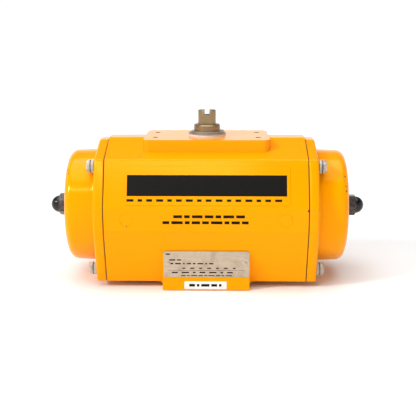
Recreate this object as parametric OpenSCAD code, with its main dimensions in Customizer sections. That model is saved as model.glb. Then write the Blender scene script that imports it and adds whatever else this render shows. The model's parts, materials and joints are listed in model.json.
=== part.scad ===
// Spring-return rack and pinion rotary actuator for quarter turn valves.
// Two opposed pistons turn one pinion; springs in the end caps drive them back.
// Origin: centre of the lower mounting face, on the pinion axis, at the spring-closed rest
// position. +X runs along the cylinder, -Y is the nameplate side, +Z points to the slotted shaft.

/* [Housing] */
// length of the housing between its end faces
body_length = 153.5; // [151:0.5:158]
// height of the cylinder axis above the mounting face
axis_height = 56.5; // [56:0.5:58]
// cylinder bore diameter
bore_dia = 85; // [84:0.5:85]
// width across the side flats
body_width = 111; // [110:0.5:114]
// top of the extruded section above the cylinder axis
section_top = 55.6; // [54:0.1:56]
// underside of the extruded section below the cylinder axis
section_bottom = 52.2; // [51:0.1:53]
// radius on the long edges of the extrusion
section_edge_r = 2; // [1:0.5:4]

/* [Mounting faces] */
// length of the top pad along the cylinder
top_pad_length = 97; // [94:1:100]
// width of the top pad
top_pad_width = 61; // [58:1:64]
// length of the lower mounting pad along the cylinder
base_pad_length = 66.4; // [66:0.1:70]
// depth of the lower mounting pad, front to back
base_pad_depth = 102; // [100:1:104]
// accessory bolt spacing along the cylinder
accessory_pitch_x = 80; // [80, 130]
// accessory bolt spacing across the cylinder
accessory_pitch_y = 30; // [30]
// bolt circle of the larger valve flange pattern
flange_pcd_large = 70; // [70]
// bolt circle of the smaller valve flange pattern
flange_pcd_small = 50; // [50]

/* [Gear and pistons] */
// gear module
gear_module = 2; // [2]
// pinion teeth
pinion_teeth = 16; // [16]
// play between the pinion teeth and the rack teeth at the pitch line
tooth_play = 0.14; // [0.1:0.02:0.2]
// height of the gear teeth
gear_height = 28; // [24:1:30]
// height of each rack
rack_height = 26; // [22:1:28]
// thickness of a piston head
piston_thickness = 15; // [14:0.5:16]
// inner face of a piston head at rest, from the pinion axis
piston_start = 36; // [35.5:0.5:36.5]

/* [Pinion shaft] */
// diameter of the slotted stub
stub_dia = 14; // [12:0.2:14]
// height of the stub end above the top pad
stub_rise = 20; // [20, 30]
// diameter of the collar below the stub
collar_dia = 20.7; // [20:0.1:21]
// height of the collar above the top pad
collar_rise = 8.8; // [8:0.2:10]
// diameter of the lower journal
foot_dia = 36.8; // [36.4:0.1:37]
// across flats of the star drive socket
drive_size = 14; // [11, 14]

/* [Springs] */
// mean radius of the outer springs
outer_spring_r = 31; // [30:0.5:31.5]
// wire diameter of the outer springs
outer_wire = 5; // [4:0.5:5.5]
// mean radius of the inner springs
inner_spring_r = 19; // [18:0.5:19.5]
// wire diameter of the inner springs
inner_wire = 3.5; // [3:0.5:3.5]

/* [End caps] */
// thickness of the flange plate
flange_thickness = 7.4; // [7:0.1:9]
// outer radius of the spring dome where it meets the flange
dome_r = 44.8; // [44:0.2:45]
// end face of the dome, from the pinion axis
dome_end = 109.1; // [107:0.1:110]
// radius on the rim of the dome
dome_edge_r = 6.5; // [5:0.5:7]
// thickness of the gasket behind the flange
gasket_thickness = 0.8; // [0.6:0.1:1]
// across flats of the plastic covers over the stop screws
cover_flats = 15.5; // [15.5:0.5:17]

/* [Hidden] */
$fn = 96;

paint = [0.98, 0.62, 0.03];
cast_silver = [0.72, 0.72, 0.70];
bright_steel = [0.74, 0.74, 0.72];
shaft_steel = [0.55, 0.48, 0.38];
seal_black = [0.05, 0.05, 0.05];
cover_black = [0.08, 0.08, 0.08];
bearing_white = [0.90, 0.90, 0.86];

half_body = body_length / 2;
bore_r = bore_dia / 2;
half_width = body_width / 2;
shoulder = [41, 43];          // upper edge of the side facets
side_top = 8;                 // upper and lower edge of the vertical side flat
side_bottom = -9;
ridge_half = 8;               // half width of the flat along the top
keel_half = 42.5;             // half width of the flat underside
pad_level = 2 * axis_height;  // height of the top pad face
flange_start = half_body + gasket_thickness;
flange_end = flange_start + flange_thickness;
flange_top = section_top - 1.7;
gasket_share = 0.985;         // size of the gasket outline against the flange outline
arc_step = 15;                // largest turn between two points of an outline's arc
fit = 0.03;                   // gap between parts that stay together
run = 0.05;                   // radial running clearance

pitch_r = gear_module * pinion_teeth / 2;
base_r = pitch_r * cos(20);
tip_r = pitch_r + gear_module;
root_r = pitch_r - 1.2 * gear_module;
rack_tip = pitch_r - 0.9 * gear_module;
rack_root = pitch_r + 1.2 * gear_module;
tooth_pitch = PI * gear_module;
stroke = pitch_r * PI / 2;
rack_end = -33;               // free end of a rack at rest
arm_r = 41.2;                 // outer radius of a rack arm
piston_end = piston_start + piston_thickness;
spring_seat = piston_end - 5;
cap_seat = dome_end - 4.6;
stop_tip = piston_end + stroke + 0.3;
cover_end = dome_end + 10.4;    // end of the hexagon part of a stop screw cover

// upper screws sit closer to the axis than the lower ones
screw_places = [[36, 37.2], [-36, 37.2], [-36, -43.2], [36, -43.2]];
back_channel = [44, 19];
front_channel = [-48.5, -0.5];
plug_place = 60;              // distance of the front channel plugs from the pinion axis

// ---- helpers -------------------------------------------------------------------------------

// right half, then left half, of the housing section around the cylinder axis
function half_section(top) = [[ridge_half, top], shoulder, [half_width, side_top],
    [half_width, side_bottom], [keel_half, -section_bottom]];
function section_points(top) = concat(half_section(top),
    [for (i = [4 : -1 : 0]) [-half_section(top)[i][0], half_section(top)[i][1]]]);

function unit(v) = v / norm(v);
function polar(r, a) = r * [cos(a), sin(a)];
function arc(centre, r, from, to) = let (steps = ceil(abs(to - from) / arc_step))
    [for (i = [0 : steps]) centre + polar(r, from + (to - from) * i / steps)];
function heading(v) = atan2(v[1], v[0]);
function short_turn(from, to) = to - from - 360 * round((to - from) / 360);

// arc that rounds corner i of a closed outline
function round_corner(points, i, r) = let (
    before = unit(points[(i + len(points) - 1) % len(points)] - points[i]),
    after = unit(points[(i + 1) % len(points)] - points[i]),
    half = acos(before * after) / 2,
    centre = points[i] + r / sin(half) * unit(before + after),
    start = heading(points[i] + r / tan(half) * before - centre),
    end = heading(points[i] + r / tan(half) * after - centre))
    arc(centre, r, start, start + short_turn(start, end));

// closed outline with every corner rounded to radius r
module rounded_outline(points, r)
    polygon([for (i = [0 : len(points) - 1]) each round_corner(points, i, r)]);

function box_points(w, h) = [[w, h], [-w, h], [-w, -h], [w, -h]] / 2;

// sketch in the YZ plane around the cylinder axis, extruded from x0 to x1
module along_x(x0, x1)
    translate([x0, 0, axis_height]) rotate([90, 0, 90]) linear_extrude(x1 - x0) children();

// sketch in the XZ plane around the cylinder axis, extruded evenly to both sides
module along_y(depth)
    translate([0, depth / 2, axis_height]) rotate([90, 0, 0]) linear_extrude(depth) children();

// round bar on the cylinder axis, moved aside by offset [y, z]
module bar_x(x0, x1, r, offset = [0, 0])
    translate([x0, offset[0], axis_height + offset[1]]) rotate([0, 90, 0]) cylinder(h = x1 - x0, r = r);

// cone on the cylinder axis
module cone_x(x0, x1, r0, r1, offset = [0, 0])
    translate([x0, offset[0], axis_height + offset[1]]) rotate([0, 90, 0])
        cylinder(h = x1 - x0, r1 = r0, r2 = r1);

// upright bar between two heights above the mounting face
module bar_z(z0, z1, r, place = [0, 0])
    translate([place[0], place[1], z0]) cylinder(h = z1 - z0, r = r);

module ring_z(z0, z1, r_in, r_out) difference() {
    bar_z(z0, z1, r_out);
    bar_z(z0 - 1, z1 + 1, r_in);
}

module ring_x(x0, x1, r_in, r_out) difference() {
    bar_x(x0, x1, r_out);
    bar_x(x0 - 1, x1 + 1, r_in);
}

module slab_z(z0, z1) translate([0, 0, z0]) linear_extrude(z1 - z0) children();

// profile [radius, distance] spun around the cylinder axis towards +X
module spin_x() translate([0, 0, axis_height]) rotate([0, 90, 0]) rotate_extrude() children();

// turns a right-hand part into the matching left-hand part
module to_left() rotate([0, 0, 180]) children();
module mirror_left() mirror([1, 0, 0]) children();

module star(size) for (a = [0, 45]) rotate(a) square(size, center = true);

// ---- housing -------------------------------------------------------------------------------

module housing() color(paint) difference() {
    union() {
        along_x(-half_body, half_body) rounded_outline(section_points(section_top), section_edge_r);
        slab_z(axis_height + 44, pad_level)
            rounded_outline(box_points(top_pad_length, top_pad_width), 5);
        base_pad();
        port_pad();
    }
    bar_x(-half_body - 1, half_body + 1, bore_r);
    for (s = [0, 1]) mirror([s, 0, 0]) {
        cone_x(half_body - 1, half_body + 0.01, bore_r, bore_r + 1.01);
        for (p = screw_places) bar_x(half_body - 16, half_body + 1, 3, p);
    }
    pinion_openings();
    mounting_holes();
    air_passages();
}

// lower pad, with rounded lower edges and a hollow fillet where it leaves the underside
module base_pad() {
    half = base_pad_length / 2;
    edge_r = 1;
    fillet_r = 3.2;
    side = concat([[half, 30 - axis_height]], arc([half - edge_r, edge_r - axis_height], edge_r, 0, -90));
    along_y(base_pad_depth) polygon(concat(side, [for (i = [len(side) - 1 : -1 : 0])
        [-side[i][0], side[i][1]]]));
    root = [half + fillet_r, -section_bottom - fillet_r];
    for (s = [0, 1]) mirror([s, 0, 0]) along_y(2 * keel_half - 1)
        polygon(concat(arc(root, fillet_r, 90, 180), [[half - 1, root[1]], [half - 1, 1 - section_bottom],
            [root[0], 1 - section_bottom]]));
}

// flat boss for the air ports, flush with the side flat
module port_pad()
    translate([0, half_width, axis_height]) rotate([90, 0, 0]) linear_extrude(12)
        rounded_outline(box_points(48, 36), 4);

// the pinion goes in from below and is held by bearings top and bottom
module pinion_openings() {
    bar_z(axis_height + 51.2, pad_level + 1, 10.75);
    bar_z(axis_height + 40, axis_height + 51.2 + 0.01, 12.5);
    bar_z(axis_height + 30, axis_height + 44, 15);
    bar_z(-1, 6, foot_dia / 2 + 0.35);
    bar_z(6 - 0.01, axis_height - 36, 20.65);
}

module mounting_holes() {
    for (x = [-1, 1], y = [-1, 1]) {
        bar_z(pad_level - 10, pad_level + 1, 2.1, [x * accessory_pitch_x / 2, y * accessory_pitch_y / 2]);
        bar_z(-1, 14, 3.4, [x, y] * flange_pcd_large / 2 / sqrt(2));
        bar_z(-1, 11, 2.5, [x, y] * flange_pcd_small / 2 / sqrt(2));
        translate([x * 16, half_width + 1, axis_height + y * 12]) rotate([90, 0, 0])
            cylinder(h = 8, r = 2.1);
    }
}

// one port feeds the space between the pistons, the other both spring chambers
module air_passages() {
    for (x = [-12, 12]) translate([x, half_width + 1, axis_height]) rotate([90, 0, 0])
        cylinder(h = 10, r = 5.9);
    translate([-12, half_width, axis_height]) rotate([90, 0, 0]) cylinder(h = 20, r = 3);
    for (p = [back_channel, front_channel]) bar_x(-half_body - 1, half_body + 1, 2, p);
    drill = [0, back_channel[0] - 48, back_channel[1]];
    translate([10, 48, axis_height]) rotate([atan2(-drill[1], drill[2]), 0, 0])
        cylinder(h = norm(drill), r = 2);
    for (s = [-1, 1]) translate([s * plug_place, -half_width - 1, axis_height + front_channel[1]])
        rotate([-90, 0, 0]) {
            cylinder(h = 4.5, r = 5);
            cylinder(h = 8, r = 2);
        }
}

// disc plugs closing the cross holes of the front air channel
module channel_plugs() color(paint)
    for (s = [-1, 1]) translate([s * plug_place, -half_width, axis_height + front_channel[1]])
        rotate([-90, 0, 0]) cylinder(h = 3.4, r = 5 - fit);

// ---- pinion --------------------------------------------------------------------------------

function involute(a) = tan(a) * 180 / PI - a;
function flank_angle(r) = (tooth_pitch / 2 - tooth_play / 2) / pitch_r / 2 * 180 / PI
    + involute(20) - involute(acos(base_r / r));
flank_steps = 5;
flank_radii = [for (i = [0 : flank_steps]) base_r + (tip_r - base_r) * i / flank_steps];
function tooth_points(a) = concat([polar(root_r, a - flank_angle(base_r))],
    [for (r = flank_radii) polar(r, a - flank_angle(r))],
    [for (i = [flank_steps : -1 : 0]) polar(flank_radii[i], a + flank_angle(flank_radii[i]))],
    [polar(root_r, a + flank_angle(base_r))]);

module gear_outline() polygon([for (i = [0 : pinion_teeth - 1])
    each tooth_points(i * 360 / pinion_teeth)]);

module pinion() color(shaft_steel) difference() {
    union() {
        bar_z(1, axis_height - gear_height / 2 + 0.01, foot_dia / 2);
        slab_z(axis_height - gear_height / 2, axis_height + gear_height / 2) gear_outline();
        bar_z(axis_height + gear_height / 2 - 0.01, axis_height + 42.4, 14);
        bar_z(axis_height + 42, pad_level + collar_rise - 0.8, collar_dia / 2);
        translate([0, 0, pad_level + collar_rise - 0.8])
            cylinder(h = 0.8, r1 = collar_dia / 2, r2 = collar_dia / 2 - 0.8);
        stub();
    }
    ring_z(axis_height + 51.9, axis_height + 55.1, 8.05, 12);
    ring_z(1.9, 5.3, foot_dia / 2 - 2.65, foot_dia / 2 + 1);
    ring_z(pad_level + 2.37, pad_level + 3.65, 9.8, 12);
    ring_z(pad_level + 6.7, pad_level + 7.5, collar_dia / 2 - 0.6, 12);
    ring_z(pad_level + 4.5, pad_level + 5, collar_dia / 2 - 0.4, 12);
    slab_z(0, 21.5) star(19);
    bar_z(pad_level + stub_rise - 14, pad_level + stub_rise + 1, 2.5);
    translate([-2, -stub_dia, pad_level + stub_rise - 4]) cube([4, 2 * stub_dia, 5]);
}

// slotted end for accessories, with two flats for a spanner
module stub() {
    top = pad_level + stub_rise;
    slab_z(pad_level + collar_rise - 1, top - 5) intersection() {
        circle(stub_dia / 2);
        square([stub_dia + 1, 11], center = true);
    }
    bar_z(top - 5.01, top - 0.5, stub_dia / 2);
    translate([0, 0, top - 0.5]) cylinder(h = 0.5, r1 = stub_dia / 2, r2 = stub_dia / 2 - 0.5);
}

module drive_insert() color(bright_steel)
    slab_z(1.5, 21) difference() {
        star(19 - 2 * fit);
        star(drive_size);
    }

module bearing_top() color(bearing_white) {
    ring_z(axis_height + 42.7, axis_height + 44 - fit, collar_dia / 2 + run, 14.6);
    ring_z(axis_height + 43.5, axis_height + 51, collar_dia / 2 + run, 12.5 - fit);
}

module bearing_bottom() color(bearing_white)
    ring_z(6.2, axis_height - 43, foot_dia / 2 + run, 20.65 - fit);

module seal_ring(radius, wire_r) rotate_extrude() translate([radius, 0]) circle(wire_r);

module pinion_seal_top() color(seal_black)
    translate([0, 0, axis_height + 53.5]) seal_ring(9.4, 1.32);

module pinion_seal_bottom() color(seal_black)
    translate([0, 0, 3.6]) seal_ring(foot_dia / 2 - 1.15, 1.47);

module thrust_washer() color(bearing_white)
    ring_z(pad_level, pad_level + 1.3, collar_dia / 2 + 0.3, 14.8);

module support_washer() color(bright_steel)
    ring_z(pad_level + 1.35, pad_level + 2.35, collar_dia / 2 + fit, 14.8);

// open ring with two eyelets for the pliers
module circlip() color(bright_steel) slab_z(pad_level + 2.4, pad_level + 3.6) difference() {
    union() {
        circle(12.6);
        for (s = [-1, 1]) rotate(20 * s) translate([12.2, 0]) circle(1.9);
    }
    circle(9.85);
    polygon([[0, 0], [20, 20 * tan(9)], [20, -20 * tan(9)]]);
    for (s = [-1, 1]) rotate(20 * s) translate([12.2, 0]) circle(0.9);
}

// ---- pistons -------------------------------------------------------------------------------

// right-hand piston at rest, with its rack on the front side of the pinion
module piston() color(cast_silver) difference() {
    union() {
        bar_x(piston_start, piston_end, bore_r - 0.3);
        intersection() {
            bar_x(rack_end, piston_start + 1, arm_r);
            translate([rack_end, -bore_r, axis_height - rack_height / 2])
                cube([piston_start + 1 - rack_end, bore_r - rack_tip, rack_height]);
        }
    }
    ring_x(piston_start + 3.4, piston_start + 7.4, 38.9, bore_r + 1);
    ring_x(piston_start + 9.6, piston_start + 13.2, 40, bore_r + 1);
    ring_x(spring_seat, piston_end + 1, outer_spring_r - 3.3, outer_spring_r + 3.3);
    ring_x(spring_seat, piston_end + 1, inner_spring_r - 2.4, inner_spring_r + 2.4);
    slab_z(axis_height - rack_height, axis_height + rack_height)
        for (i = [-5 : 5]) translate([i * tooth_pitch, 0]) rack_gap();
    guide_pocket(0);
}

// space between two rack teeth
module rack_gap() {
    half = (tooth_pitch + tooth_play) / 4;
    mouth = half + (pitch_r - rack_tip + 1) * tan(20);
    bottom = half - (rack_root - pitch_r) * tan(20);
    polygon([[mouth, 1 - rack_tip], [bottom, -rack_root], [-bottom, -rack_root], [-mouth, 1 - rack_tip]]);
}

// seat of the slide pad on the back of the rack
module guide_pocket(shrink)
    translate([-24 + shrink, -bore_r - 1, axis_height - 8 + shrink])
        cube([28 - 2 * shrink, bore_r + 1 - 38, 16 - 2 * shrink]);

module rack_guide() color(bearing_white) intersection() {
    guide_pocket(fit);
    translate([-30, -bore_r - 5, axis_height - 20]) cube([40, bore_r + 5 - 38 - fit, 40]);
    bar_x(-30, 10, bore_r - run);
}

module piston_seal() color(seal_black)
    translate([piston_start + 5.4, 0, axis_height]) rotate([0, 90, 0]) seal_ring(bore_r - 1.8, 1.76);

// split band that keeps the piston head off the bore wall
module guide_band() color(bearing_white) difference() {
    ring_x(piston_start + 9.65, piston_start + 13.15, 40 + fit, bore_r - run);
    translate([piston_start + 9, -0.6, axis_height]) cube([5, 1.2, bore_r + 1]);
}

// helical coil with a flat half turn at each end
function coil_point(mean_r, wire_r, length, turns, t, side) = let (
    climb = max(0, min(1, (t - 0.5) / (turns - 1))),
    out = polar(wire_r, side), ring = polar(mean_r + out[0], 360 * t))
    [ring[0], ring[1], wire_r + (length - 2 * wire_r) * climb + out[1]];

module coil(mean_r, wire_r, length, turns) {
    sides = 6;
    steps = 16 * turns;
    polyhedron(
        [for (i = [0 : steps], k = [0 : sides - 1])
            coil_point(mean_r, wire_r, length, turns, i * turns / steps, k * 360 / sides)],
        concat([[for (k = [0 : sides - 1]) k], [for (k = [sides - 1 : -1 : 0]) steps * sides + k]],
            [for (i = [0 : steps - 1], k = [0 : sides - 1]) let (a = i * sides, n = (k + 1) % sides)
                each [[a + k, a + sides + k, a + sides + n], [a + k, a + sides + n, a + n]]]));
}

module spring(mean_r, wire_r, turns) color(bright_steel)
    translate([spring_seat + 0.1, 0, axis_height]) rotate([0, 90, 0])
        coil(mean_r, wire_r, cap_seat - spring_seat - 0.2, turns);

// ---- end caps ------------------------------------------------------------------------------

// right-hand cap: flange plate and spring dome in one casting
module end_cap() color(paint) difference() {
    union() {
        along_x(flange_start, flange_end) rounded_outline(section_points(flange_top), section_edge_r);
        spin_x() dome_profile();
    }
    spin_x() dome_hollow();
    bar_x(flange_start - 1, dome_end + 1, 4);
    for (p = screw_places) bar_x(flange_start - 1, flange_end + 1, 3.3, p);
    channel_slot(back_channel);
    channel_slot(front_channel);
}

module dome_profile() {
    draft = 0.6;
    edge = [dome_r - draft - dome_edge_r, dome_end - dome_edge_r];
    polygon(concat([[0, dome_end], [0, flange_end - 3], [dome_r + 1.5, flange_end - 3]],
        arc([dome_r + 1.5, flange_end + 1.5], 1.5, 270, 180), arc(edge, dome_edge_r, 0, 90)));
}

// spring chamber with a boss left standing for the stop screw and a ring between the springs
module dome_hollow() difference() {
    polygon(concat([[0, flange_start - 1], [40.5, flange_start - 1]],
        arc([36.5, cap_seat - 4], 4, 0, 90), [[0, cap_seat]]));
    translate([0, cap_seat - 12]) square([8, 20]);
    translate([24.2, cap_seat - 2]) square([2.6, 4]);
}

// slot that leads air from a housing channel into the dome
module channel_slot(place)
    translate([0, 0, axis_height]) rotate([heading(place), 0, 0])
        translate([flange_start - 1, 38, -2]) cube([4, norm(place) + 2 - 38, 4]);

module cap_gasket() color(seal_black) along_x(half_body, flange_start) difference() {
    rounded_outline(section_points(flange_top) * gasket_share, section_edge_r);
    circle(bore_r + 0.5);
    for (p = screw_places) translate(p) circle(3.3);
    for (p = [back_channel, front_channel])
        rotate(heading(p)) translate([bore_r - 1, -2]) square([norm(p) + 3 - bore_r, 4]);
}

// four socket-head screws
module cap_screws() color(bright_steel) for (p = screw_places) difference() {
    union() {
        bar_x(half_body - 14, flange_end + 1, 3 - fit, p);
        bar_x(flange_end, flange_end + 5.4, 5, p);
        cone_x(flange_end + 5.4, flange_end + 6, 5, 4.4, p);
    }
    translate([flange_end + 3, p[0], axis_height + p[1]]) rotate([0, 90, 0])
        cylinder(h = 4, d = 5 / cos(30), $fn = 6);
}

module stop_screw() color(bright_steel) difference() {
    union() {
        cone_x(stop_tip, stop_tip + 1, 3, 4 - fit);
        bar_x(stop_tip + 1, cover_end, 4 - fit);
        cone_x(cover_end, cover_end + 0.7, 4 - fit, 3.3);
    }
    translate([cover_end - 3.5, 0, axis_height]) rotate([0, 90, 0])
        cylinder(h = 5, d = 4 / cos(30), $fn = 6);
}

module stop_seal() color(seal_black) ring_x(dome_end, dome_end + 1.2, 4, 6.4);

module stop_nut(turn) color(bright_steel) difference() {
    intersection() {
        bar_x(dome_end + 1.2, dome_end + 7.7, 7.3);
        hex_bar(dome_end + 1, dome_end + 8, 13, turn);
    }
    bar_x(dome_end, dome_end + 9, 4);
}

module hex_bar(x0, x1, flats, turn)
    translate([x0, 0, axis_height]) rotate([0, 90, 0]) rotate(turn)
        cylinder(h = x1 - x0, d = flats / cos(30), $fn = 6);

// hollow hexagon cover with a ball end
module stop_cover(turn) color(cover_black) difference() {
    union() {
        intersection() {
            hex_bar(dome_end, cover_end, cover_flats, turn);
            spin_x() polygon([[0, dome_end - 1], [10, dome_end - 1], [10, cover_end - 1.9],
                [7.4, cover_end], [0, cover_end]]);
        }
        spin_x() intersection() {
            translate([0, cover_end - 0.1]) circle(6.8);
            translate([0, cover_end - 0.7]) square(8);
        }
    }
    hex_bar(dome_end - 1, dome_end + 8, 13.3, turn);
    bar_x(dome_end + 7, cover_end + 1.3, 4.4);
}

// ---- plates and labels ---------------------------------------------------------------------

// metal plate on the front of the lower pad
module nameplate() color(bright_steel)
    translate([0.4, -base_pad_depth / 2, axis_height - 35.65]) rotate([90, 0, 0]) linear_extrude(0.5)
        rounded_outline(box_points(65.4, 20.5), 1.5);

module small_label() color(bearing_white)
    translate([-0.4, -base_pad_depth / 2, axis_height - 52.4]) rotate([90, 0, 0]) linear_extrude(0.2)
        rounded_outline(box_points(32.5, 6.2), 0.8);

// printed film on the upper front facet
module side_label() color(paint) {
    low = [half_width, side_top];
    face = shoulder - low;
    middle = (shoulder + low) / 2;
    translate([0, -middle[0], axis_height + middle[1]]) rotate([90 - atan2(-face[0], face[1]), 0, 0])
        translate([0.8, -0.95]) linear_extrude(0.2) rounded_outline(box_points(124.8, 30.5), 2);
}

// ---- left and right nodes ------------------------------------------------------------------

module piston_right() piston();
module piston_left() to_left() piston();
module piston_seal_right() piston_seal();
module piston_seal_left() to_left() piston_seal();
module guide_band_right() guide_band();
module guide_band_left() to_left() guide_band();
module rack_guide_right() rack_guide();
module rack_guide_left() to_left() rack_guide();
module spring_outer_right() spring(outer_spring_r, outer_wire / 2, 5);
module spring_outer_left() to_left() spring(outer_spring_r, outer_wire / 2, 5);
module spring_inner_right() spring(inner_spring_r, inner_wire / 2, 7);
module spring_inner_left() to_left() spring(inner_spring_r, inner_wire / 2, 7);
module end_cap_right() end_cap();
module end_cap_left() mirror_left() end_cap();
module cap_gasket_right() cap_gasket();
module cap_gasket_left() mirror_left() cap_gasket();
module cap_screws_right() cap_screws();
module cap_screws_left() mirror_left() cap_screws();
module stop_screw_right() stop_screw();
module stop_screw_left() mirror_left() stop_screw();
module stop_nut_right() stop_nut(28);
module stop_nut_left() mirror_left() stop_nut(0);
module stop_seal_right() stop_seal();
module stop_seal_left() mirror_left() stop_seal();
module stop_cover_right() stop_cover(28);
module stop_cover_left() mirror_left() stop_cover(0);

housing();
pinion();
drive_insert();
piston_left();
piston_right();
piston_seal_left();
piston_seal_right();
guide_band_left();
guide_band_right();
rack_guide_left();
rack_guide_right();
spring_outer_left();
spring_outer_right();
spring_inner_left();
spring_inner_right();
end_cap_left();
end_cap_right();
cap_gasket_left();
cap_gasket_right();
cap_screws_left();
cap_screws_right();
stop_screw_left();
stop_screw_right();
stop_nut_left();
stop_nut_right();
stop_seal_left();
stop_seal_right();
stop_cover_left();
stop_cover_right();
bearing_top();
bearing_bottom();
pinion_seal_top();
pinion_seal_bottom();
thrust_washer();
support_washer();
circlip();
channel_plugs();
nameplate();
side_label();
small_label();
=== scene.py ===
"""Looks of the rotary pneumatic actuator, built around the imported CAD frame.

Everything is in metres in the row frame: +X along the cylinder, -Y the nameplate side, +Z up.
"""

import json
import math

import bmesh
import bpy
from mathutils import Matrix, Vector


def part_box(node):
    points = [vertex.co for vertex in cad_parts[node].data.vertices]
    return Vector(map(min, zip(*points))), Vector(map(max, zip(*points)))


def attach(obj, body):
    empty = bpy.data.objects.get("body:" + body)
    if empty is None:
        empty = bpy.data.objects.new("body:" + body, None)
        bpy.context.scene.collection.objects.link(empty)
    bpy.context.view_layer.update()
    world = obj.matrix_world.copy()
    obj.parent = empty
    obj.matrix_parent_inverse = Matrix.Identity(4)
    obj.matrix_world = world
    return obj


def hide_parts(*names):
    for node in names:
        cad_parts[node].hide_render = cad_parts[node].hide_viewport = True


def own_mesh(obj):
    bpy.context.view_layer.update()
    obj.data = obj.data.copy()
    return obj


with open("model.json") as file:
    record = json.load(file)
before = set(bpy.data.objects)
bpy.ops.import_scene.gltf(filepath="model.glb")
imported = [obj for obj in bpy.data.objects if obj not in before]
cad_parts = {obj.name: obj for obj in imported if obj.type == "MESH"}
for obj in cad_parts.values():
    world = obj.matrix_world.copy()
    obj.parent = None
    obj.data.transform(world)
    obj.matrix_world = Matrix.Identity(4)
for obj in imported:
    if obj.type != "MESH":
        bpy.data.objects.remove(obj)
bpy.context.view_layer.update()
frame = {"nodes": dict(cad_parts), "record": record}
nodes = frame["nodes"]

MM = 0.001
BODY = "actuator_body"


# ---------------------------------------------------------------- places read from the frame

def centre_of(node):
    low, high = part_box(node)
    return (low + high) / 2


housing_low, housing_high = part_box("housing")
AXIS_Z = centre_of("stop_screw_right").z          # height of the cylinder axis
PAD_Z = housing_high.z                            # face of the top pad
BASE_Z = housing_low.z                            # lower mounting face
FLANGE_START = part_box("end_cap_right")[0].x       # parting face of the end cap
FLANGE_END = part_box("cap_screws_right")[1].x - 6 * MM   # outer face of the flange, under the screw heads
DOME_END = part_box("end_cap_right")[1].x           # end face of the dome
DOME_RADIUS = 44.2 * MM
RIM_ROUND = 6.5 * MM                              # round edge of the dome
COVER_HEX_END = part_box("stop_cover_right")[1].x - 6.7 * MM
PAD_HOLE = (40 * MM, 15 * MM, PAD_Z - 1.2 * MM)   # one of four tapped holes, mirrored in X and Y
TIP_HOLE = (0.0, 0.0, PAD_Z + 15.6 * MM)          # tapped hole at the bottom of the stub's slot


def on_rim(side, lean, clock):
    """Place on the round rim of a dome: lean from the end face, clock around the cylinder, in degrees."""
    along = DOME_END - RIM_ROUND * (1 - math.cos(math.radians(lean)))
    out = DOME_RADIUS - RIM_ROUND * (1 - math.sin(math.radians(lean)))
    return (side * along, out * math.cos(math.radians(clock)), AXIS_Z + out * math.sin(math.radians(clock)))


# small chips in the paint: place and radius
CHIPS = [(on_rim(-1, 46, 130), 0.9 * MM),
         (on_rim(-1, 60, 135), 0.7 * MM),
         (on_rim(1, 59, 138), 0.7 * MM),
         (on_rim(1, 56, 149), 0.5 * MM),
         (on_rim(1, 54, 154), 0.75 * MM),
         ((76.5 * MM, housing_low.y, AXIS_Z + 7 * MM), 1.0 * MM),
         ((-50 * MM, -36 * MM, AXIS_Z + 45 * MM), 0.55 * MM),
         ((-59.5 * MM, housing_low.y, AXIS_Z - 5 * MM), 0.5 * MM),
         ((-63.5 * MM, housing_low.y, AXIS_Z - 2.5 * MM), 0.4 * MM),
         ((58 * MM, -housing_low.y, AXIS_Z + 4.5 * MM), 0.9 * MM)]


# ---------------------------------------------------------------- node material helpers

class Shader:
    """A node material with a Principled shader and a few short ways to add nodes."""

    def __init__(self, name, **inputs):
        self.material = bpy.data.materials.new(name)
        self.material.use_nodes = True
        self.tree = self.material.node_tree
        self.surface = self.tree.nodes["Principled BSDF"]
        self.position = self.add("ShaderNodeTexCoord").outputs["Object"]
        for key, value in inputs.items():
            self.set(key.replace("_", " "), value)

    def add(self, kind, inputs=None, **settings):
        node = self.tree.nodes.new(kind)
        for key, value in settings.items():
            setattr(node, key, value)
        for key, value in (inputs or {}).items():
            self.feed(node.inputs[key], value)
        return node

    def feed(self, socket, value):
        if isinstance(value, bpy.types.NodeSocket):
            self.tree.links.new(value, socket)
        elif socket.type == "RGBA" and not isinstance(value, float):
            socket.default_value = (*value[:3], 1.0)
        else:
            socket.default_value = value

    def set(self, name, value):
        found = {s.name.lower(): s for s in self.surface.inputs}
        self.feed(found[name.lower()], value)

    def noise(self, scale, detail=3.0, roughness=0.5, stretch=None):
        place = self.position
        if stretch:
            place = self.add("ShaderNodeMapping", {"Vector": place, "Scale": stretch}).outputs[0]
        return self.add("ShaderNodeTexNoise", {"Vector": place, "Scale": scale, "Detail": detail,
                                               "Roughness": roughness}).outputs["Fac"]

    def ramp(self, value, low, high, to_low=0.0, to_high=1.0):
        return self.add("ShaderNodeMapRange", {"Value": value, "From Min": low, "From Max": high,
                                               "To Min": to_low, "To Max": to_high}).outputs[0]

    def mix(self, share, a, b):
        node = self.add("ShaderNodeMix", data_type="RGBA")
        self.feed(node.inputs[0], share)
        self.feed(node.inputs[6], a)
        self.feed(node.inputs[7], b)
        return node.outputs[2]

    def math(self, operation, a, b=0.0):
        node = self.add("ShaderNodeMath", operation=operation)
        self.feed(node.inputs[0], a)
        self.feed(node.inputs[1], b)
        return node.outputs[0]

    def relief(self, height, depth, strength=1.0, edge_radius=0.0):
        inputs = {"Height": height, "Distance": depth, "Strength": strength}
        if edge_radius:
            bevel = self.add("ShaderNodeBevel", {"Radius": edge_radius}, samples=4)
            inputs["Normal"] = bevel.outputs[0]
        self.set("normal", self.add("ShaderNodeBump", inputs).outputs[0])

    def near(self, place, radius, ragged=0.0, position=None):
        """1 inside a ragged spot around a place, 0 outside."""
        gap = self.add("ShaderNodeVectorMath", {0: position or self.position, 1: place}, operation="DISTANCE")
        rough = self.math("MULTIPLY", self.math("SUBTRACT", self.noise(900.0, 4.0, 0.6), 0.5), ragged)
        return self.ramp(self.math("ADD", gap.outputs["Value"], rough), radius, radius * 0.85)


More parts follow.
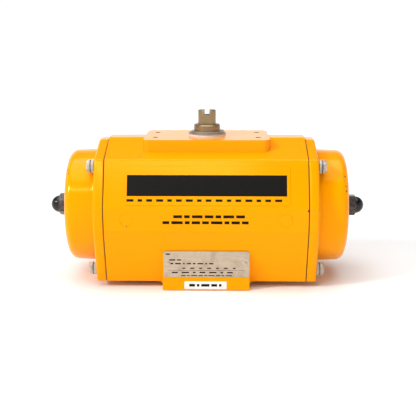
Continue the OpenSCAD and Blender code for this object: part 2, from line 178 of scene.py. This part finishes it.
def paint_shader(name):
    """Glossy powder coat with a fine orange peel, small chips, and painted shade in the tapped holes."""
    s = Shader(name, ior=1.42, specular_ior_level=0.5, specular_tint=(1.0, 0.65, 0.12))
    tone = s.ramp(s.noise(14.0, 3.0, 0.5), 0.3, 0.7)
    colour = s.mix(tone, (0.97, 0.335, 0.0004), (0.98, 0.350, 0.0005))
    streaks = s.ramp(s.noise(260.0, 2.0, 0.5, stretch=(0.02, 1.0, 1.0)), 0.45, 0.75, 0.0, 0.25)
    colour = s.mix(streaks, colour, (0.94, 0.315, 0.0004))
    folded = s.add("ShaderNodeVectorMath", {0: s.position}, operation="ABSOLUTE").outputs[0]
    # painted shade: the paint turns dark brown-orange on the walls of the four tapped holes in the top pad
    colour = s.mix(s.near(PAD_HOLE, 3.0 * MM, 0.0, folded), colour, (0.30, 0.11, 0.015))
    chipped = 0.0
    for place, radius in CHIPS:
        chipped = s.math("MAXIMUM", chipped, s.near(place, radius, 1.6 * radius))
    s.set("base color", s.mix(chipped, colour, (0.055, 0.045, 0.035)))
    s.set("roughness", s.math("ADD", s.ramp(s.noise(240.0, 2.0), 0.3, 0.7, 0.13, 0.19),
                              s.math("MULTIPLY", chipped, 0.4)))
    peel = s.add("ShaderNodeTexNoise", {"Vector": s.position, "Scale": 900.0, "Detail": 1.0}).outputs["Fac"]
    s.relief(s.math("SUBTRACT", peel, s.math("MULTIPLY", chipped, 6.0)), 0.00002, 0.2, edge_radius=0.0006)
    return s.material


def metal_shader(name, colour, roughness, grain=(1.0, 1.0, 1.0), depth=0.00002, stain=0.25, painted_shade_spot=None,
                 shade_bands=()):
    """Bare metal with a fine grain and cloudy stains; painted shade darkens an optional spot and narrow bands
    along X.
    """
    s = Shader(name, metallic=1.0)
    streak = s.noise(900.0, 3.0, 0.6, stretch=grain)
    tint = s.mix(s.ramp(streak, 0.3, 0.7), [c * 0.82 for c in colour], colour)
    clouds = s.ramp(s.noise(150.0, 4.0, 0.6), 0.45, 0.7, 0.0, stain)
    tint = s.mix(clouds, tint, [c * 0.45 for c in colour])
    # painted shade: a near-black spot around a given place
    if painted_shade_spot:
        tint = s.mix(s.near(*painted_shade_spot), tint, (0.02, 0.015, 0.01))
    # painted shade: each band along X is darkened to a fifth of the metal colour
    for middle, half in shade_bands:
        along = s.math("ABSOLUTE", s.add("ShaderNodeSeparateXYZ", {0: s.position}).outputs["X"])
        gap = s.math("ABSOLUTE", s.math("SUBTRACT", along, middle))
        tint = s.mix(s.ramp(gap, half, half * 0.6), tint, [c * 0.2 for c in colour])
    s.set("base color", tint)
    s.set("roughness", s.ramp(streak, 0.3, 0.7, roughness * 0.8, roughness * 1.25))
    s.relief(streak, depth, 0.6, edge_radius=0.0003)
    return s.material


def plain_shader(name, colour, roughness, depth=0.00003, scale=700.0, gloss=0.5, dust_to=0.0):
    """Plastic, rubber, paper or ink with a faint grain; dust lies within a distance along X."""
    s = Shader(name, specular_ior_level=gloss)
    grain = s.noise(scale, 3.0, 0.6)
    tint = s.mix(s.ramp(grain, 0.3, 0.7), [c * 0.88 for c in colour], colour)
    if dust_to:
        along = s.math("ABSOLUTE", s.add("ShaderNodeSeparateXYZ", {0: s.position}).outputs["X"])
        patches = s.ramp(s.noise(420.0, 4.0, 0.7), 0.3, 0.7)
        dust = s.math("MULTIPLY", s.ramp(along, dust_to, dust_to - 1 * MM), patches)
        tint = s.mix(dust, tint, (0.115, 0.105, 0.10))
    s.set("base color", tint)
    s.set("roughness", s.ramp(s.noise(scale * 0.3), 0.3, 0.7, roughness * 0.85, min(1.0, roughness * 1.15)))
    s.relief(grain, depth, 0.5, edge_radius=0.0003)
    return s.material


PAINT = paint_shader("yellow_paint")
ZINC = metal_shader("zinc_steel", (0.46, 0.43, 0.37), 0.36)
# painted shade on the screw heads: a dark band in the crease at the flange and one in the groove between the
# knurls
HEAD_SHADE_BANDS = [(FLANGE_END + 0.2 * MM, 0.4 * MM), (FLANGE_END + 2.85 * MM, 0.55 * MM)]
SCREW_ZINC = metal_shader("screw_zinc", (0.66, 0.61, 0.52), 0.34, grain=(0.25, 1.0, 1.0), depth=0.00005,
                          stain=0.8, shade_bands=HEAD_SHADE_BANDS)
# painted shade: the tapped hole at the bottom of the stub's slot is painted near black
SHAFT_METAL = metal_shader("shaft_metal", (0.37, 0.27, 0.15), 0.36, grain=(1.0, 1.0, 6.0),
                           painted_shade_spot=(TIP_HOLE, 4.1 * MM))
SPRING_STEEL = metal_shader("spring_steel", (0.30, 0.31, 0.33), 0.38)
CAST = metal_shader("cast_aluminium", (0.75, 0.75, 0.74), 0.45)
BLACK = plain_shader("black_plastic", (0.007, 0.006, 0.006), 0.22, gloss=0.4, dust_to=COVER_HEX_END)
INK = plain_shader("print_black", (0.006, 0.005, 0.004), 0.5, depth=0.000005, gloss=0.12)
RUBBER = plain_shader("black_rubber", (0.060, 0.032, 0.014), 0.7)
WHITE = plain_shader("white_plastic", (0.74, 0.79, 0.86), 0.4)
PLATE = metal_shader("nameplate_metal", (0.60, 0.50, 0.38), 0.38, grain=(0.05, 1.0, 1.0), stain=0.5)
FILM = paint_shader("label_film")
PAPER = plain_shader("label_paper", (0.90, 0.88, 0.82), 0.5)

NODE_MATERIALS = {
    "housing_paint": PAINT, "cap_paint": PAINT, "shaft_steel": SHAFT_METAL, "bright_steel": ZINC,
    "spring_steel": SPRING_STEEL, "cast_aluminium": CAST, "seal_rubber": RUBBER,
    "white_plastic": WHITE, "black_plastic": BLACK, "nameplate_metal": PLATE,
    "label_film": FILM, "label_paper": PAPER,
}
for part in frame["record"]["subparts"]:
    mesh = nodes[part["node"]].data
    mesh.materials.clear()
    mesh.materials.append(NODE_MATERIALS[part["material_slot"]])


# ---------------------------------------------------------------- softened CAD nodes

EDGE_WIDTHS = {"housing": 0.6, "pinion": 0.3, "circlip": 0.2, "support_washer": 0.25,
               "thrust_washer": 0.25, "stop_cover_left": 0.35, "stop_cover_right": 0.35,
               "channel_plugs": 0.25, "nameplate": 0.12}


def soften(node, width):
    """Flat faces are merged and the hard edges of a CAD node get a small round."""
    merge = nodes[node].modifiers.new("merge_flats", "DECIMATE")
    merge.decimate_type, merge.angle_limit = "DISSOLVE", math.radians(0.6)
    bevel = nodes[node].modifiers.new("edges", "BEVEL")
    bevel.limit_method, bevel.angle_limit = "ANGLE", math.radians(32)
    bevel.width, bevel.segments, bevel.harden_normals = width * MM, 3, True


for softened, width in EDGE_WIDTHS.items():
    soften(softened, width)


# ---------------------------------------------------------------- mesh helpers

def arc(centre, radius, start, end, steps):
    """Points of a circular arc between two angles in degrees."""
    angles = [math.radians(start + (end - start) * i / steps) for i in range(steps + 1)]
    return [(centre[0] + radius * math.cos(a), centre[1] + radius * math.sin(a)) for a in angles]


def rounded_corners(corners, radius, steps=6):
    """Corner arcs of a convex outline as (centre, direction) pairs, drawn at any inset later."""
    pairs = []
    for i, corner in enumerate(corners):
        here = Vector(corner)
        before = (Vector(corners[i - 1]) - here).normalized()
        after = (Vector(corners[(i + 1) % len(corners)]) - here).normalized()
        half = before.angle(after) / 2
        centre = here + (before + after).normalized() * (radius / math.sin(half))
        first = (here + before * (radius / math.tan(half)) - centre).normalized()
        last = (here + after * (radius / math.tan(half)) - centre).normalized()
        pairs += [(centre, first.slerp(last, k / steps)) for k in range(steps + 1)]
    return pairs


def inset_outline(pairs, radius, inset):
    return [centre + direction * (radius - inset) for centre, direction in pairs]


def rounded_ends(start, end, start_round, end_round, steps=5):
    """(place, inset) pairs along an extrusion whose end edges are rounded."""
    turns = [math.radians(90 * i / steps) for i in range(steps + 1)]
    first = [(start + start_round * (1 - math.cos(t)), start_round * (1 - math.sin(t))) for t in turns]
    last = [(end - end_round * (1 - math.cos(t)), end_round * (1 - math.sin(t))) for t in turns]
    return first + last[::-1]


def loft(rings, capped=True):
    """Vertices and faces of a tube through rings of equally many points."""
    count = len(rings[0])
    points = [p for ring in rings for p in ring]
    faces = [(r * count + k, r * count + (k + 1) % count, (r + 1) * count + (k + 1) % count,
              (r + 1) * count + k) for r in range(len(rings) - 1) for k in range(count)]
    if capped:
        faces += [tuple(range(count)), tuple(range(len(points) - count, len(points)))]
    return points, faces


def spin(profile, steps=144, centre=(0.0, 0.0)):
    """Tube spun from (x, radius) points around an axis along X, offset by centre from the cylinder."""
    turn = [2 * math.pi * k / steps for k in range(steps)]
    return loft([[(x, centre[0] + r * math.cos(a), AXIS_Z + centre[1] + r * math.sin(a)) for a in turn]
                 for x, r in profile], capped=False)


def mesh_object(name, shapes, material):
    """Object from one or more (points, faces) shapes in metres, welded, with outward normals."""
    mesh = bpy.data.meshes.new(name)
    bm = bmesh.new()
    for points, faces in shapes:
        corners = [bm.verts.new(p) for p in points]
        for face in faces:
            bm.faces.new([corners[i] for i in face])
    bmesh.ops.remove_doubles(bm, verts=bm.verts, dist=1e-7)
    bmesh.ops.dissolve_degenerate(bm, edges=bm.edges, dist=1e-8)
    bmesh.ops.recalc_face_normals(bm, faces=bm.faces)
    bm.to_mesh(mesh)
    bm.free()
    mesh.materials.append(material)
    piece = bpy.data.objects.new(name, mesh)
    bpy.context.scene.collection.objects.link(piece)
    return piece


def combine(piece, tool, operation):
    """Boolean of two objects, baked into the first; the second is deleted."""
    change = piece.modifiers.new(operation, "BOOLEAN")
    change.operation, change.object, change.solver = operation, tool, "EXACT"
    bpy.context.view_layer.update()
    result = bpy.data.meshes.new_from_object(piece.evaluated_get(bpy.context.evaluated_depsgraph_get()))
    piece.modifiers.clear()
    piece.data = result
    bpy.data.objects.remove(tool)


def shade(piece, sharp_angle=30.0):
    bm = bmesh.new()
    bm.from_mesh(piece.data)
    for face in bm.faces:
        face.smooth = True
    for edge in bm.edges:
        edge.smooth = len(edge.link_faces) == 2 and edge.calc_face_angle(0.0) < math.radians(sharp_angle)
    bm.to_mesh(piece.data)
    bm.free()


def place(piece, slot, stands_for=()):
    """Shades a finished piece, ties it to the housing body and hides the CAD nodes it stands for."""
    shade(piece)
    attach(piece, BODY)
    if stands_for:
        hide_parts(*stands_for)


# ---------------------------------------------------------------- end caps

SECTION_ROUND = 2 * MM                            # corners of the flange outline
ROOT_FILLET = 2.5 * MM                            # between flange and dome
ROOT_RADIUS = DOME_RADIUS + ROOT_FILLET + 0.6 * MM
CHAMBER_RADIUS = 40.5 * MM
CHAMBER_ROUND = 4 * MM
SPRING_SEAT = DOME_END - 4.6 * MM                 # floor of the spring chamber
BOSS_RADIUS = 8 * MM                              # boss around the stop screw, inside the chamber
BOSS_LENGTH = 12 * MM
STOP_DRILL = 4.0 * MM
SCREW_DRILL = 3.3 * MM
SCREW_PLACES = [(y * MM, z * MM) for y, z in ((36, 37.2), (-36, 37.2), (36, -43.2), (-36, -43.2))]


def flange_corners():
    half = [(8, 53.9), (41, 43), (55.5, 8), (55.5, -9), (42.5, -52.2)]
    return [(y * MM, z * MM) for y, z in half] + [(-y * MM, z * MM) for y, z in reversed(half)]


def end_cap(side, word):
    """Flange with a spun dome, hollowed for the springs and drilled for the screws."""
    pairs = rounded_corners(flange_corners(), SECTION_ROUND)
    rings = [[(side * x, p.x, AXIS_Z + p.y) for p in inset_outline(pairs, SECTION_ROUND, inset)]
             for x, inset in rounded_ends(FLANGE_START, FLANGE_END, 0.5 * MM, 1.9 * MM)]
    cap = mesh_object(f"end_shell_{word}", [loft(rings)], PAINT)
    outside = ([(FLANGE_END - 3 * MM, 0.0), (FLANGE_END - 3 * MM, ROOT_RADIUS)]
               + arc((FLANGE_END + ROOT_FILLET, ROOT_RADIUS), ROOT_FILLET, 180, 270, 6)
               + arc((DOME_END - RIM_ROUND, DOME_RADIUS - RIM_ROUND), RIM_ROUND, 90, 0, 12)
               + [(DOME_END, 0.0)])
    combine(cap, mesh_object("dome", [spin([(side * x, r) for x, r in outside])], PAINT), "UNION")
    inside = ([(FLANGE_START - MM, 0.0), (FLANGE_START - MM, CHAMBER_RADIUS)]
              + arc((SPRING_SEAT - CHAMBER_ROUND, CHAMBER_RADIUS - CHAMBER_ROUND), CHAMBER_ROUND, 90, 0, 6)
              + [(SPRING_SEAT, BOSS_RADIUS), (SPRING_SEAT - BOSS_LENGTH, BOSS_RADIUS),
                 (SPRING_SEAT - BOSS_LENGTH, 0.0)])
    combine(cap, mesh_object("chamber", [spin([(side * x, r) for x, r in inside])], PAINT), "DIFFERENCE")
    drills = [((0.0, 0.0), STOP_DRILL, DOME_END + MM)]
    drills += [(p, SCREW_DRILL, FLANGE_END + MM) for p in SCREW_PLACES]
    for centre, radius, end in drills:
        bar = [(FLANGE_START - MM, 0.0), (FLANGE_START - MM, radius), (end, radius), (end, 0.0)]
        tool = spin([(side * x, r) for x, r in bar], 32, centre)
        combine(cap, mesh_object("drill", [tool], PAINT), "DIFFERENCE")
    place(cap, "cap_paint", [f"end_cap_{word}"])


# ---------------------------------------------------------------- cap screws

def screw_shape(side, centre):
    """Socket-head screw: plain shank, knurled head with a chamfered crown."""
    teeth = 30
    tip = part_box("cap_screws_right")[0].x
    head = [(0.0, 4.6, 0), (0.5, 4.6, 0), (0.6, 5.0, 0.35), (2.5, 5.0, 0.35), (2.6, 4.6, 0),
            (3.1, 4.6, 0), (3.2, 5.0, 0.35), (5.0, 5.0, 0.35), (5.2, 4.7, 0), (5.6, 4.7, 0), (6.0, 4.3, 0)]
    stages = [(tip, 2.5, 0), (tip + 0.5 * MM, 2.97, 0), (FLANGE_END, 2.97, 0)]
    stages += [(FLANGE_END + x * MM, radius, groove) for x, radius, groove in head]
    rings = []
    for x, radius, groove in stages:
        ring = []
        for k in range(4 * teeth):
            angle = 2 * math.pi * k / (4 * teeth)
            r = (radius - (groove if k % 4 in (2, 3) else 0)) * MM
            y = centre[0] + r * math.cos(angle)
            ring.append((side * x, y, AXIS_Z + centre[1] + r * math.sin(angle)))
        rings.append(ring)
    return loft(rings)


def hexagon_bar(side, start, end, flats, centre):
    radius = flats / math.sqrt(3)
    corners = [(radius * math.cos(math.radians(60 * k + 15)), radius * math.sin(math.radians(60 * k + 15)))
               for k in range(6)]
    return loft([[(side * x, centre[0] + y, AXIS_Z + centre[1] + z) for y, z in corners]
                 for x in (start, end)])


def cap_screws(side, name):
    for number, centre in enumerate(SCREW_PLACES):
        screw = mesh_object(f"{name}_{number}", [screw_shape(side, centre)], SCREW_ZINC)
        key_hole = hexagon_bar(side, FLANGE_END + 3 * MM, FLANGE_END + 7 * MM, 5 * MM, centre)
        socket = mesh_object("socket", [key_hole], SCREW_ZINC)
        combine(screw, socket, "DIFFERENCE")
        place(screw, "bright_steel", [name])


# ---------------------------------------------------------------- springs

def coil_shape(side, node, wire_radius, turns):
    """Helical coil between the ends of a CAD spring, with a flat half turn at each end."""
    low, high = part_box(node)
    near, far = sorted((abs(low.x), abs(high.x)))
    mean = (high.y - low.y) / 2 - wire_radius
    steps = 40 * turns
    rings = []
    for i in range(steps + 1):
        turn = turns * i / steps
        climb = min(1.0, max(0.0, (turn - 0.5) / (turns - 1)))
        along = near + wire_radius + (far - near - 2 * wire_radius) * climb
        angle = 2 * math.pi * turn
        ring = []
        for k in range(12):
            a = 2 * math.pi * k / 12
            r = mean + wire_radius * math.cos(a)
            x = side * (along + wire_radius * math.sin(a))
            ring.append((x, r * math.cos(angle), AXIS_Z + r * math.sin(angle)))
        rings.append(ring)
    return loft(rings)


def spring(side, word, kind, wire_radius, turns):
    node = f"spring_{kind}_{word}"
    piece = mesh_object(f"coil_{kind}_{word}", [coil_shape(side, node, wire_radius, turns)], SPRING_STEEL)
    place(piece, "spring_steel", [node])
    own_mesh(piece)


for sign, word in ((1, "right"), (-1, "left")):
    end_cap(sign, word)
    cap_screws(sign, f"cap_screws_{word}")
    spring(sign, word, "outer", 2.5 * MM, 5)
    spring(sign, word, "inner", 1.75 * MM, 7)


# ---------------------------------------------------------------- plates and print

def plane(origin, up, normal):
    """Drawing plane: x to the right, y along up, z out of the surface."""
    up, normal = Vector(up).normalized(), Vector(normal).normalized()
    across = up.cross(normal)
    turn = Matrix((across, up, normal)).transposed().to_4x4()
    return Matrix.Translation(origin) @ turn


def rectangle(x0, y0, x1, y1):
    return [(x0, y0), (x1, y0), (x1, y1), (x0, y1)]


def dashes(x0, x1, y0, y1, lengths, gap):
    """A row of short marks of the given lengths, repeated across the width."""
    row, x, k = [], x0, 0
    while x + lengths[k % len(lengths)] <= x1:
        row.append(rectangle(x, y0, x + lengths[k % len(lengths)], y1))
        x += lengths[k % len(lengths)] + gap
        k += 1
    return row


def print_on(name, surface, shapes, material, slot, height=0.06):
    """Flat marks in millimetres on a drawing plane, as thin plates."""
    solids = []
    for shape in shapes:
        rings = [[surface @ Vector((x * MM, y * MM, z * MM)) for x, y in shape] for z in (-0.03, height)]
        solids.append(loft(rings))
    place(mesh_object(name, solids, material), slot)


def round_heads(surface, places, radius):
    """Low round heads in millimetres on a drawing plane, as (points, faces) shapes."""
    profile = [(1.0, -0.03), (1.0, 0.2), (0.88, 0.4), (0.6, 0.55), (0.2, 0.6)]
    turn = [math.tau * k / 32 for k in range(32)]
    return [loft([[surface @ Vector(((x + radius * share * math.cos(a)) * MM,
                                     (y + radius * share * math.sin(a)) * MM, z * MM)) for a in turn]
                  for share, z in profile]) for x, y in places]


FRONT_UP, FRONT_OUT = (0, 0, 1), (0, -1, 0)
FACET_UP, FACET_OUT = (0, 14.5, 35), (0, -35, 14.5)
FILM_LIFT = 0.1 * MM
BANNER_LEFT, BANNER_RIGHT, BANNER_HALF = -60.2, 59.8, 8.05

# upper facet: a plain black band and a row of blank dashes below it
film = plane(centre_of("side_label") + Vector(FACET_OUT).normalized() * FILM_LIFT, FACET_UP, FACET_OUT)
rule = dashes(BANNER_LEFT, BANNER_RIGHT, -12.3, -10.4, [5.2, 3.4, 4.3], 3.1)
band = rectangle(BANNER_LEFT, -BANNER_HALF, BANNER_RIGHT, BANNER_HALF)
print_on("banner", film, [band], INK, "black_plastic")
print_on("banner_rule", film, rule, INK, "black_plastic")

# front flat: two rows of blank dashes
side_flat = plane(Vector((0, housing_low.y, AXIS_Z)), FRONT_UP, FRONT_OUT)
notice = (dashes(-24.4, 30.0, 1.3, 3.5, [6.5, 4.2, 8.0], 1.6)
          + dashes(-32.5, 38.5, -3.3, -1.1, [5.0, 8.5, 3.6, 6.2], 1.6))
print_on("side_marks", side_flat, notice, INK, "black_plastic")

# nameplate: rows of blank dashes, a thin rule and a round head at each end
plate_low, plate_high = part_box("nameplate")
plate = plane(Vector((0, plate_low.y, (plate_low.z + plate_high.z) / 2)), FRONT_UP, FRONT_OUT)
plate_rows = (dashes(-30.6, -26, 7.4, 8.4, [3.2], 1.0)
              + dashes(-28, -14, 2.9, 3.9, [4.6, 3.0], 1.4)
              + dashes(-27, 8, 0.0, 1.0, [2.0, 4.4, 1.4, 3.2], 1.5)
              + dashes(-18, 28, -3.6, -2.7, [2.2, 3.0], 3.8)
              + [rectangle(-29, -4.9, 29, -4.7)]
              + dashes(-26, 27, -7.0, -6.0, [4.4, 5.6, 2.0], 3.0)
              + dashes(-19, 22, -9.3, -8.6, [3.4, 2.2, 4.6], 1.0))
print_on("nameplate_print", plate, plate_rows, INK, "black_plastic", height=0.04)
heads = round_heads(plate, [(-29.2, 0.0), (29.2, 0.0)], 2.3)
place(mesh_object("nameplate_heads", heads, PLATE), "nameplate_metal")

# small label: one row of blank dashes
small_middle = centre_of("small_label")
small = plane(Vector((small_middle.x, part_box("small_label")[0].y, small_middle.z)), FRONT_UP, FRONT_OUT)
small_row = dashes(-12.5, 13.5, -1.0, 1.0, [4.4, 1.8, 6.2], 1.5)
print_on("small_label_print", small, small_row, INK, "black_plastic", height=0.04)


# ---------------------------------------------------------------- stage, light and camera

FLOOR_HALF = 6
FLOOR_GAP = 0.3 * MM


def make_stage():
    mesh = bpy.data.meshes.new("floor")
    mesh.from_pydata([(x * FLOOR_HALF, y * FLOOR_HALF, 0) for x, y in ((-1, -1), (1, -1), (1, 1), (-1, 1))],
                     [], [(0, 1, 2, 3)])
    floor = bpy.data.objects.new("floor", mesh)
    floor.location.z = BASE_Z - FLOOR_GAP
    bpy.context.scene.collection.objects.link(floor)
    s = Shader("floor", base_color=(0.93, 0.93, 0.93), roughness=0.6, specular_ior_level=0.15)
    mesh.materials.append(s.material)


def sun(name, toward, energy, angle):
    light = bpy.data.lights.new(name, "SUN")
    light.energy, light.angle = energy, angle
    lamp = bpy.data.objects.new(name, light)
    lamp.rotation_euler = (-Vector(toward)).to_track_quat("-Z", "Y").to_euler()
    bpy.context.scene.collection.objects.link(lamp)


def window(name, toward, distance, width, height, power):
    light = bpy.data.lights.new(name, "AREA")
    light.shape, light.size, light.size_y, light.energy = "RECTANGLE", width, height, power
    lamp = bpy.data.objects.new(name, light)
    toward = Vector(toward).normalized()
    lamp.location = Vector((0.0, 0.0, AXIS_Z)) + toward * distance
    lamp.rotation_euler = (-toward).to_track_quat("-Z", "Y").to_euler()
    bpy.context.scene.collection.objects.link(lamp)


# soft light from around the studio: direction, cosine where it starts and where it is full, strength
SOFT_LIGHTS = [((0, 0, 1), -2.0, -1.5, 0.05), ((0, 0, 1), 0.60, 0.20, 0.78), ((0, 0, 1), 0.60, 1.0, 0.15),
               ((0, 1, 0.15), 0.75, 1.0, 0.22)]


def make_light():
    sun("key", (-0.74, -0.41, 0.54), 1.5, 0.15)
    sun("overhead", (-0.06, 0.0, 0.99), 2.35, 1.1)
    window("front_window", (-0.30, -0.72, 0.62), 1.3, 1.0, 0.10, 3.6)
    world = bpy.data.worlds.new("studio")
    world.use_nodes = True
    tree = world.node_tree
    direction = tree.nodes.new("ShaderNodeTexCoord").outputs["Generated"]
    total = tree.nodes["Background"].inputs["Strength"]
    for toward, start, full, strength in SOFT_LIGHTS:
        add = tree.nodes.new("ShaderNodeMath")
        tree.links.new(add.outputs[0], total)
        dot = tree.nodes.new("ShaderNodeVectorMath")
        dot.operation = "DOT_PRODUCT"
        dot.inputs[1].default_value = Vector(toward).normalized()
        tree.links.new(direction, dot.inputs[0])
        lobe = tree.nodes.new("ShaderNodeMapRange")
        lobe.interpolation_type = "SMOOTHSTEP"
        tree.links.new(dot.outputs["Value"], lobe.inputs["Value"])
        for key, value in {"From Min": start, "From Max": full, "To Min": 0.0, "To Max": strength}.items():
            lobe.inputs[key].default_value = value
        tree.links.new(lobe.outputs[0], add.inputs[0])
        add.inputs[1].default_value = 0.0
        total = add.inputs[1]
    tree.nodes["Background"].inputs["Color"].default_value = (1.0, 1.0, 1.0, 1.0)
    bpy.context.scene.world = world
    bpy.context.scene.view_settings.view_transform = "Standard"


def make_camera():
    data = bpy.data.cameras.new("camera")
    data.sensor_width, data.lens = 36.0, 73.6
    camera = bpy.data.objects.new("camera", data)
    camera.location = (0.0105, -0.6737, AXIS_Z + 0.1455)
    camera.rotation_euler = (math.radians(90 - 12.44), 0.0, math.radians(0.83))
    data.clip_start, data.clip_end = 0.01, 50.0
    bpy.context.scene.collection.objects.link(camera)
    bpy.context.scene.camera = camera


make_stage()
make_light()
make_camera()
